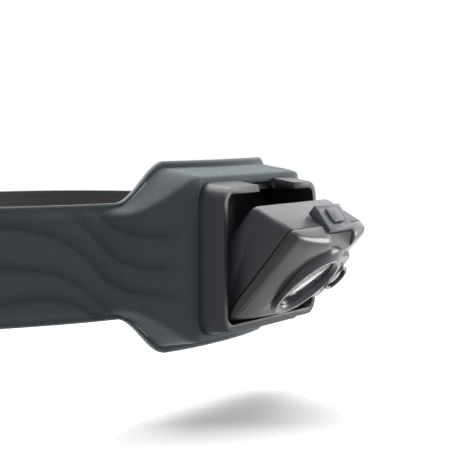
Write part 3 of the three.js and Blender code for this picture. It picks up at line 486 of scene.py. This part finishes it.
aluminiumFinish = metalFinish("aluminiumFinish", opaque(0.7, 0.71, 0.72), 0.3, 0.15, (1, 12, 1))
cellFoil = metalFinish("cellFoil", opaque(0.5, 0.53, 0.58), 0.3, 0.2)
softRubber = rubberFinish("softRubber", opaque(0.012, 0.012, 0.013))
wireSleeve = rubberFinish("wireSleeve", opaque(0.42, 0.02, 0.015))
greenBoard = circuitBoard("greenBoard")
phosphorLed = ledPhosphor("phosphorLed")
knit = ribbedKnit("ribbedKnit")
webbing = elasticWebbing("elasticWebbing")
padMesh = spacerMesh("spacerMesh")
thread = rubberFinish("sewingThread", opaque(0.05, 0.055, 0.06))

nodeFinishes = {
    "front_frame": darkPlastic, "rear_cup": darkPlastic,
    "side_ring_right": darkPlastic, "side_ring_left": darkPlastic,
    "strap_slider_right": darkPlastic, "strap_slider_left": darkPlastic,
    "lamp_housing": housingPlastic, "lens_cover": smokedCover, "light_tray": darkPlastic,
    "spot_bezel": bezelPlastic, "pod_bezel": podPlastic, "pod_lens": podGlass,
    "spot_window": clearWindow, "spot_led_dome": clearWindow, "spot_reflector": chromeDish,
    "spot_led": phosphorLed, "pod_led": phosphorLed, "status_led": phosphorLed,
    "spot_heat_sink": aluminiumFinish, "battery_cell": cellFoil, "main_board": greenBoard,
    "battery_lead_right": wireSleeve, "battery_lead_left": wireSleeve,
    "usb_socket": steelFinish, "dome_switch": steelFinish,
    "detent_sector": steelFinish, "detent_spring": steelFinish,
    "hinge_pin_right": steelFinish, "hinge_pin_left": steelFinish,
    "button_tab": tabPlastic, "power_button": tabPlastic,
    "cover_seal": softRubber, "port_cover": softRubber,
}
edgeRounding = {      # radius put on the sharp edges of the moulded nodes
    "front_frame": 0.35 * mm, "lamp_housing": 0.3 * mm, "lens_cover": 0.3 * mm, "spot_bezel": 0.22 * mm,
    "pod_bezel": 0.15 * mm, "button_tab": 0.35 * mm, "power_button": 0.3 * mm, "rear_cup": 0.3 * mm,
    "side_ring_right": 0.3 * mm, "side_ring_left": 0.3 * mm, "strap_slider_right": 0.3 * mm,
    "strap_slider_left": 0.3 * mm, "port_cover": 0.3 * mm,
}


# A small tree that merges a node's loose triangles and shades them smoothly.
def makeShellTree():
    tree = bpy.data.node_groups.new("mergeAndSmooth", "GeometryNodeTree")
    tree.interface.new_socket("Geometry", in_out="INPUT", socket_type="NodeSocketGeometry")
    tree.interface.new_socket("Geometry", in_out="OUTPUT", socket_type="NodeSocketGeometry")
    start = tree.nodes.new("NodeGroupInput")
    merge = tree.nodes.new("GeometryNodeMergeByDistance")
    merge.inputs["Distance"].default_value = 2e-6
    smooth = tree.nodes.new("GeometryNodeSetShadeSmooth")
    end = tree.nodes.new("NodeGroupOutput")
    tree.links.new(start.outputs[0], merge.inputs["Geometry"])
    tree.links.new(merge.outputs[0], smooth.inputs["Geometry"])
    tree.links.new(smooth.outputs[0], end.inputs[0])
    return tree


def finishNodes():
    shellTree = makeShellTree()
    for name, material in nodeFinishes.items():
        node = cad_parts[name]
        node.data.materials.clear()
        node.data.materials.append(material)
        shell = node.modifiers.new("mergeAndSmooth", "NODES")
        shell.node_group = shellTree
        rounding = node.modifiers.new("roundEdges", "BEVEL")
        rounding.width = edgeRounding.get(name, 0.05 * mm)
        rounding.segments = 2
        rounding.limit_method = "ANGLE"
        rounding.angle_limit = math.radians(28)
        rounding.use_clamp_overlap = True
        rounding.harden_normals = True


finishNodes()
print("CAD nodes finished")


# Plan of the head loop, in metres.
panelLow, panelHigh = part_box("headband_panel")
strapLow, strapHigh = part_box("rear_strap")
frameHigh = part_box("front_frame")[1]
plan = {
    "frontY": -6 * mm,
    "frontRadius": 140 * mm, "frontAngle": math.radians(35),
    "sideRadius": 50 * mm, "straight": 30 * mm, "backRadius": 58 * mm,
}


# Pieces of the half loop: (length, centre, radius, first angle); a radius of None is a straight.
def makeHalfLoop():
    angle = plan["frontAngle"]
    centreY = plan["frontY"] + plan["frontRadius"]
    sideX = (plan["frontRadius"] - plan["sideRadius"]) * math.sin(angle)
    sideY = centreY - (plan["frontRadius"] - plan["sideRadius"]) * math.cos(angle)
    outX = sideX + plan["sideRadius"]
    backY = sideY + plan["straight"]
    turn = math.pi / 2 - angle
    endX = outX - plan["backRadius"] * (1 - math.cos(turn))
    endY = backY + plan["backRadius"] * math.sin(turn)
    lastRadius = endX / math.sin(angle)
    return [
        (plan["frontRadius"] * angle, (0, centreY), plan["frontRadius"], -math.pi / 2),
        (plan["sideRadius"] * turn, (sideX, sideY), plan["sideRadius"], angle - math.pi / 2),
        (plan["straight"], (outX, sideY), None, 0),
        (plan["backRadius"] * turn, (outX - plan["backRadius"], backY), plan["backRadius"], 0),
        (lastRadius * angle, (0, endY - lastRadius * math.cos(angle)), lastRadius, turn),
    ]


halfLoop = makeHalfLoop()
halfLength = sum(piece[0] for piece in halfLoop)


# A point of the loop at a distance along it, moved outwards, at a height.
def onLoop(distance, outward, z):
    wrapped = distance - 2 * halfLength if distance > halfLength else distance
    side = -1 if wrapped < 0 else 1
    rest = min(abs(wrapped), halfLength)
    for length, centre, radius, first in halfLoop:
        if rest <= length or centre is halfLoop[-1][1]:
            break
        rest -= length
    if radius is None:
        return Vector((side * (centre[0] + outward), centre[1] + rest, z))
    angle = first + rest / radius
    return Vector((side * (centre[0] + (radius + outward) * math.cos(angle)),
                   centre[1] + (radius + outward) * math.sin(angle), z))


# The distance along the loop, on either side of the middle, of the loop's point nearest to a place.
def alongLoop(place):
    angle = math.atan2(abs(place.x), plan["frontY"] + plan["frontRadius"] - place.y)
    if angle < plan["frontAngle"]:
        return plan["frontRadius"] * angle
    sideX, sideY = halfLoop[1][1]
    turned = min(math.atan2(place.y - sideY, abs(place.x) - sideX), 0.0) - plan["frontAngle"] + math.pi / 2
    return plan["frontRadius"] * plan["frontAngle"] + plan["sideRadius"] * turned


def smoothStep(value):
    k = min(max(value, 0.0), 1.0)
    return k * k * (3 - 2 * k)


def between(first, second, share):
    return first + (second - first) * share


def addObject(name, mesh, material):
    mesh.materials.append(material)
    made = bpy.data.objects.new(name, mesh)
    bpy.context.scene.collection.objects.link(made)
    return made


# A sheet of quads through rows of points, with its flat place in metres as a UV map.
def sheetMesh(name, columns, flatPlaces, keep=None):
    rows = len(columns[0])
    mesh = bpy.data.meshes.new(name)
    points = [tuple(point) for column in columns for point in column]
    faces = []
    for i in range(len(columns) - 1):
        for j in range(rows - 1):
            corners = (i * rows + j, (i + 1) * rows + j, (i + 1) * rows + j + 1, i * rows + j + 1)
            centre = sum((Vector(points[corner]) for corner in corners), Vector()) / 4
            if keep is None or keep(centre):
                faces.append(corners)
    mesh.from_pydata(points, [], faces)
    layer = mesh.uv_layers.new(name="cloth")
    flat = [place for column in flatPlaces for place in column]
    for loopCorner in mesh.loops:
        layer.data[loopCorner.index].uv = flat[loopCorner.vertex_index]
    mesh.shade_smooth()
    return mesh


def flatArea(mesh):
    return sum(polygon.area for polygon in mesh.polygons)


def thicken(piece, thickness, offset, bevel=0.0):
    wall = piece.modifiers.new("wall", "SOLIDIFY")
    wall.thickness = thickness
    wall.offset = offset
    wall.use_even_offset = True
    if bevel:
        rounding = piece.modifiers.new("roundEdges", "BEVEL")
        rounding.width = bevel
        rounding.segments = 2
        rounding.limit_method = "ANGLE"
        rounding.angle_limit = math.radians(50)


def bakeModifiers(piece):
    evaluated = piece.evaluated_get(bpy.context.evaluated_depsgraph_get())
    mesh = bpy.data.meshes.new_from_object(evaluated)
    piece.modifiers.clear()
    piece.data = mesh


# Moulded fabric panel.
panelSet = {
    "halfHeight": panelHigh.z,
    "bandHalfHeight": 17.8 * mm,
    "foldHalfHeight": 15.8 * mm,
    "podHalfHeight": 24.3 * mm,
    "podHalfWidth": 30 * mm,
    "podFade": 25 * mm,
    "flange": 3.2 * mm,
    "bandFlange": 2 * mm,
    "bandRoll": 2.4 * mm,
    "bandPad": 1 * mm,
    "taperStart": 29 * mm,
    "taperEnd": 48 * mm,
    "thinOver": 18 * mm,
    "turnAt": 116.8 * mm,      # centre of the turn round the ring's bar
    "foldEnd": 104 * mm,
    "layer": 1.6 * mm,
    "foldGap": 2.4 * mm,
    "foldSeat": 0.12 * mm,      # between the folded end and the layer it is sewn to
    "sinkStart": 0.25,          # shares of the folded end over which it sinks to its seat
    "sinkSpan": 0.45,
    "wall": 1.45 * mm,
    "step": 0.8 * mm,
    "grooveDepth": 0.7 * mm,
    "grooveWidth": 0.95 * mm,
    "grooveRamp": 2.8 * mm,
    "grooveMargin": 2 * mm,
    "grooveOverrun": 1 * mm,    # past a line's last point
    "grooveFullLift": 0.4 * mm,  # the raise of the face at which a line has its full depth
    "grooveStart": frameHigh.x + 0.5 * mm,
    "grooveFadeIn": 7 * mm,
    "grooveFadeOut": 10 * mm,
    "waveReach": 60 * mm,
    "holeInset": 1.75 * mm,     # from the frame's outline to the hole round its neck
    "holeCorner": 3.2 * mm,
    "holeDepth": 3 * mm,        # the hole cuts nothing further back than this
}
# The moulded wave lines, as (distance from the middle, height) in millimetres on one side.
waveLines = [
    [(30.5, -3.0), (44, -1.8), (49.5, 1.0), (55, 6.5), (60.5, 11.5), (67.5, 15.0)],
    [(30.5, -12.5), (47, -8.8), (52, -5.5), (58.5, 0.8), (66, 7.2), (77, 10.8), (96, 12.4)],
    [(42, -18.6), (50.5, -15.3), (55, -12), (62, -6.0), (68, -2.8), (80, -0.6), (100, 0.6)],
    [(54, -17.6), (60, -13.4), (66.5, -10.7), (74, -9.7), (86, -10.8), (98, -12.6)],
    [(30.5, 7.0), (41, 7.4), (47, 9.0), (53, 12.6), (59, 15.5)],
]


def waveTracks():
    tracks = []
    for line in waveLines:
        places, heights = zip(*line)
        fine = np.linspace(places[0], places[-1], 120)
        coarse = np.interp(fine, places, heights)
        kernel = np.hanning(17)
        padded = np.pad(coarse, 8, mode="reflect", reflect_type="odd")
        tracks.append((fine * mm, np.convolve(padded, kernel / kernel.sum(), mode="valid") * mm))
    return tracks


# How deep the wave lines are at a place on the panel, from 0 to 1. Each is deepest at its line and fades
# out quickly below it and slowly above it. It also fades in beside the frame and out at its outer end.
def grooveAt(away, z, tracks):
    s = panelSet
    depth = 0.0
    for places, heights in tracks:
        if not places[0] - s["grooveMargin"] < away < places[-1] + s["grooveMargin"]:
            continue
        nearest = np.hypot(places - away, heights - z).min()
        above = z > np.interp(away, places, heights)
        reach = s["grooveRamp"] if above else s["grooveWidth"]
        fadeOut = smoothStep((places[-1] + s["grooveOverrun"] - away) / s["grooveFadeOut"])
        fadeIn = smoothStep((away - s["grooveStart"]) / s["grooveFadeIn"])
        depth = max(depth, math.exp(-((nearest / reach) ** 2)) * fadeOut * fadeIn)
    return depth


def panelColumn(distance, offset, share, tracks):
    away = abs(distance)
    s = panelSet
    taper = smoothStep((away - s["taperStart"]) / (s["taperEnd"] - s["taperStart"]))
    fade = smoothStep((away - s["podHalfWidth"]) / s["podFade"])
    narrow = smoothStep((away - s["foldEnd"]) / (s["turnAt"] - s["foldEnd"]))
    halfHeight = between(s["halfHeight"], s["bandHalfHeight"], taper)
    halfHeight = between(halfHeight, s["foldHalfHeight"], 1.0 if share else narrow)
    thin = smoothStep((s["foldEnd"] - away) / s["thinOver"])
    podRise = onLoop(distance, 0, 0).y - panelLow.y - s["layer"]
    rise = between(podRise, s["bandPad"] * thin, fade)
    flange = between(s["flange"], s["bandFlange"], taper)
    top = min(s["podHalfHeight"], halfHeight - flange - s["bandRoll"])
    foot = halfHeight - flange
    holeEdge = min(frameHigh.z - s["holeInset"], top * 0.9)
    heights = [
        *np.linspace(0, holeEdge, 30),
        *np.linspace(holeEdge, top, 4)[1:],
        *np.linspace(top, foot, 9)[1:],
        *np.linspace(foot, halfHeight, 4)[1:],
    ]
    column = []
    for z in [-h for h in reversed(heights[1:])] + heights:
        ramp = min(max((foot - abs(z)) / (foot - top), 0.0), 1.0)
        lift = rise * (0.45 * ramp + 0.55 * smoothStep(ramp))
        if not share:
            lift -= s["grooveDepth"] * grooveAt(away, z, tracks) * min(1.0, lift / s["grooveFullLift"])
        straight = onLoop(distance, offset, z)
        straight.y -= lift
        column.append(straight.lerp(onLoop(distance, offset + lift, z), fade))
    return column


# (distance, offset, share of the turn done) along one end: on, round the ring's bar and back.
def foldPath(side):
    s = panelSet
    radius = s["foldGap"] / 2
    path = []
    for i in range(1, 9):
        angle = math.pi * i / 8
        path.append((side * (s["turnAt"] + radius * math.sin(angle)),
                     s["layer"] + radius * (1 - math.cos(angle)), 1.0))
    for i in range(1, 13):
        share = i / 12
        distance = between(s["turnAt"], s["foldEnd"], share)
        sink = smoothStep((share - s["sinkStart"]) / s["sinkSpan"])
        offset = between(s["layer"] + s["foldGap"], s["layer"] + s["foldSeat"], sink)
        path.append((side * distance, offset, 1.0))
    return path


def buildPanel():
    s = panelSet
    tracks = waveTracks()
    count = round(2 * s["turnAt"] / s["step"])
    middle = [(between(-s["turnAt"], s["turnAt"], i / count), s["layer"], 0.0) for i in range(count + 1)]
    path = foldPath(-1)[::-1] + middle + foldPath(1)
    columns = [panelColumn(*place, tracks) for place in path]
    rows = len(columns[0])
    flat = []
    travelled = 0.0
    for i, column in enumerate(columns):
        if i:
            travelled += (column[0] - columns[i - 1][0]).length
        flat.append([(travelled, point.z) for point in column])
    holeX = frameHigh.x - s["holeInset"]
    holeZ = frameHigh.z - s["holeInset"]
    holeCorner = s["holeCorner"]

    def outsideHole(point):
        if point[1] > panelLow.y + s["holeDepth"]:
            return True
        dx = max(abs(point[0]) - holeX + holeCorner, 0.0)
        dz = max(abs(point[2]) - holeZ + holeCorner, 0.0)
        return math.hypot(dx, dz) > holeCorner

    mesh = sheetMesh("moulded_panel", columns, flat, outsideHole)
    length = travelled
    area = flatArea(mesh)
    edgeHighlightMask = mesh.attributes.new("paintedEdgeHighlight", "FLOAT", "POINT")
    shadow = mesh.attributes.new("waveShadow", "FLOAT", "POINT")
    # waveShadow holds the wave-line depth as painted shade for the knit's colour
    for vertex in mesh.vertices:
        if vertex.co.y < panelLow.y + s["waveReach"]:
            away = alongLoop(vertex.co)
            shadow.data[vertex.index].value = grooveAt(away, vertex.co.z, tracks)
    # the outermost rows of the sheet get the painted edge highlight
    for index in range(len(mesh.vertices)):
        edgeHighlightMask.data[index].value = 1.0 if index % rows in (0, rows - 1) else 0.0
    panel = addObject("moulded_panel", mesh, knit)
    thicken(panel, s["wall"], 1.0)
    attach(panel, "headband")
    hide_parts("headband_panel")
    return panel, length, area


panel, panelLength, panelArea = buildPanel()
print("moulded panel built")


# Rear strap.
strapSet = {
    "width": strapHigh.z - strapLow.z,
    "wall": 1.2 * mm,
    "turnAt": 122.5 * mm,
    "tailEnd": 171.4 * mm,
    "innerLayer": 1.6 * mm,
    "outerLayer": 4.0 * mm,
    "step": 2.2 * mm,
}


def strapPath():
    s = strapSet
    radius = (s["outerLayer"] - s["innerLayer"]) / 2
    tail = np.linspace(s["tailEnd"], s["turnAt"], 24)
    path = [(distance, s["outerLayer"]) for distance in tail]
    for i in range(1, 8):
        angle = math.pi * i / 8
        offset = s["innerLayer"] + radius * (1 + math.cos(angle))
        path.append((s["turnAt"] - radius * math.sin(angle), offset))
    around = 2 * halfLength - 2 * s["turnAt"]
    count = round(around / s["step"])
    main = [(s["turnAt"] + around * i / count, s["innerLayer"]) for i in range(count + 1)]
    mirrored = [(2 * halfLength - distance, offset) for distance, offset in reversed(path)]
    return path + main + mirrored


def buildStrap():
    s = strapSet
    heights = np.linspace(-s["width"] / 2, s["width"] / 2, 22)
    columns = []
    flat = []
    travelled = 0.0
    for distance, offset in strapPath():
        column = [onLoop(distance, offset, z) for z in heights]
        if columns:
            travelled += (column[0] - columns[-1][0]).length
        columns.append(column)
        flat.append([(travelled, z) for z in heights])
    mesh = sheetMesh("elastic_strap", columns, flat)
    strap = addObject("elastic_strap", mesh, webbing)
    thicken(strap, s["wall"], -1.0, 0.3 * mm)
    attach(strap, "headband")
    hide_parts("rear_strap")


buildStrap()
print("strap built")


# Forehead pad.
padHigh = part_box("forehead_pad")[1]
padSet = {
    "halfWidth": padHigh.x - 0.4 * mm,
    "halfHeight": padHigh.z - 0.3 * mm,
    "front": -0.35 * mm,
    "thickness": 5.6 * mm,
    "rounding": 0.34,         # how far the corners pull in
    "channels": (-17 * mm, 17 * mm),
    "channelDepth": 1.5 * mm,
    "channelWidth": 1.5 * mm,
    "crown": 0.25 * mm,
    "rimStart": 0.84,         # share of the half size at which the edge starts to round off
    "rimSpan": 0.16,
    "columns": 90,
    "rows": 60,
}


def padPoint(a, b, back):
    s = padSet
    x = s["halfWidth"] * a * math.sqrt(1 - s["rounding"] * b * b / 2)
    z = s["halfHeight"] * b * math.sqrt(1 - s["rounding"] * a * a / 2)
    rim = max(abs(a), abs(b))
    fullness = math.sqrt(max(0.0, 1 - max(0.0, (rim - s["rimStart"]) / s["rimSpan"]) ** 2))
    half = s["thickness"] / 2 * fullness
    middle = s["front"] - s["thickness"] / 2
    if not back:
        return onLoop(x, middle + half, z)
    dip = sum(math.exp(-(((x - channel) / s["channelWidth"]) ** 2)) for channel in s["channels"])
    crown = s["crown"] * math.cos(min(1.0, abs(x) / s["halfWidth"]) * math.pi / 2)
    return onLoop(x, middle - half + dip * s["channelDepth"] * fullness + s["crown"] - crown, z)


def buildPad():
    s = padSet
    acrossSteps = np.linspace(-1, 1, s["columns"])
    upSteps = np.linspace(-1, 1, s["rows"])
    points = []
    for back in (False, True):
        points += [tuple(padPoint(a, b, back)) for a in acrossSteps for b in upSteps]
    faces = []
    size = s["columns"] * s["rows"]
    for i in range(s["columns"] - 1):
        for j in range(s["rows"] - 1):
            k = i * s["rows"] + j
            faces.append((k, k + s["rows"], k + s["rows"] + 1, k + 1))
            faces.append((size + k, size + k + 1, size + k + s["rows"] + 1, size + k + s["rows"]))
    mesh = bpy.data.meshes.new("brow_pad")
    mesh.from_pydata(points, [], faces)
    pad = addObject("brow_pad", mesh, padMesh)
    weld = pad.modifiers.new("weld", "WELD")
    weld.merge_threshold = 0.02 * mm
    bakeModifiers(pad)
    pad.data.shade_smooth()
    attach(pad, "headband")
    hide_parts("forehead_pad")


buildPad()
print("pad built")


# Stitches, as a tree that lays short threads along an edge path.
stitchSet = {
    "length": 2.1 * mm, "gap": 0.9 * mm, "radius": 0.17 * mm,
    "proud": 0.1 * mm,          # above the cloth
    "edge": 1.2 * mm,           # from a row's end to the cloth's edge
    "foldInsets": (1.6 * mm, 4.0 * mm),
    "tailInsets": (2 * mm, 5 * mm),
}


def makeStitchTree():
    tree = bpy.data.node_groups.new("stitchRow", "GeometryNodeTree")
    face = tree.interface
    face.new_socket("Path", in_out="INPUT", socket_type="NodeSocketGeometry")
    for label in ("Stitch Length", "Gap", "Thread Radius"):
        face.new_socket(label, in_out="INPUT", socket_type="NodeSocketFloat")
    face.new_socket("Thread", in_out="INPUT", socket_type="NodeSocketMaterial")
    face.new_socket("Stitches", in_out="OUTPUT", socket_type="NodeSocketGeometry")
    start = tree.nodes.new("NodeGroupInput")
    curve = tree.nodes.new("GeometryNodeMeshToCurve")
    pitch = tree.nodes.new("ShaderNodeMath")
    resample = tree.nodes.new("GeometryNodeResampleCurve")
    resample.mode = "LENGTH"
    tangent = tree.nodes.new("GeometryNodeInputTangent")
    align = tree.nodes.new("FunctionNodeAlignRotationToVector")
    align.axis = "Z"
    threadShape = tree.nodes.new("GeometryNodeMeshCylinder")
    threadShape.inputs["Vertices"].default_value = 6
    place = tree.nodes.new("GeometryNodeInstanceOnPoints")
    realize = tree.nodes.new("GeometryNodeRealizeInstances")
    paint = tree.nodes.new("GeometryNodeSetMaterial")
    end = tree.nodes.new("NodeGroupOutput")
    link = tree.links.new
    link(start.outputs["Path"], curve.inputs["Mesh"])
    link(start.outputs["Stitch Length"], pitch.inputs[0])
    link(start.outputs["Gap"], pitch.inputs[1])
    link(curve.outputs[0], resample.inputs["Curve"])
    link(pitch.outputs[0], resample.inputs["Length"])
    link(resample.outputs[0], place.inputs["Points"])
    link(tangent.outputs[0], align.inputs["Vector"])
    link(align.outputs[0], place.inputs["Rotation"])
    link(start.outputs["Thread Radius"], threadShape.inputs["Radius"])
    link(start.outputs["Stitch Length"], threadShape.inputs["Depth"])
    link(threadShape.outputs[0], place.inputs["Instance"])
    link(place.outputs[0], realize.inputs[0])
    link(realize.outputs[0], paint.inputs["Geometry"])
    link(start.outputs["Thread"], paint.inputs["Material"])
    link(paint.outputs[0], end.inputs[0])
    return tree


def socketId(tree, label):
    return next(item.identifier for item in tree.interface.items_tree if item.name == label)


def stitchRows(name, rows, body):
    mesh = bpy.data.meshes.new(name)
    points, edges = [], []
    for row in rows:
        first = len(points)
        points += [tuple(point) for point in row]
        edges += [(first + i, first + i + 1) for i in range(len(row) - 1)]
    mesh.from_pydata(points, edges, [])
    piece = bpy.data.objects.new(name, mesh)
    bpy.context.scene.collection.objects.link(piece)
    rig = piece.modifiers.new("stitches", "NODES")
    rig.node_group = stitchTree
    for label, value in (("Stitch Length", stitchSet["length"]), ("Gap", stitchSet["gap"]),
                         ("Thread Radius", stitchSet["radius"]), ("Thread", thread)):
        rig[socketId(stitchTree, label)] = value
    bakeModifiers(piece)
    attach(piece, body)


stitchTree = makeStitchTree()


def foldStitches():
    s = panelSet
    rows = []
    proud = s["layer"] + s["foldSeat"] + s["wall"] + stitchSet["proud"]
    for side in (-1, 1):
        for inset in stitchSet["foldInsets"]:
            distance = side * (s["foldEnd"] + inset)
            reach = s["foldHalfHeight"] - stitchSet["edge"]
            rows.append([onLoop(distance, proud, z) for z in np.linspace(-reach, reach, 12)])
    stitchRows("fold_stitches", rows, "headband")


def tailStitches():
    s = strapSet
    rows = []
    proud = s["outerLayer"] + s["wall"] + stitchSet["proud"]
    for side in (-1, 1):
        for inset in stitchSet["tailInsets"]:
            distance = side * (s["tailEnd"] - inset)
            reach = s["width"] / 2 - stitchSet["edge"]
            heights = np.linspace(-reach, reach, 10)
            rows.append([onLoop(distance, proud, z) for z in heights])
    stitchRows("tail_stitches", rows, "headband")


foldStitches()
tailStitches()
print("stitches laid")


# The screws take the steel finish.
for name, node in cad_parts.items():
    if "screw" in name:
        node.data.materials.clear()
        node.data.materials.append(steelFinish)
print("screws finished")
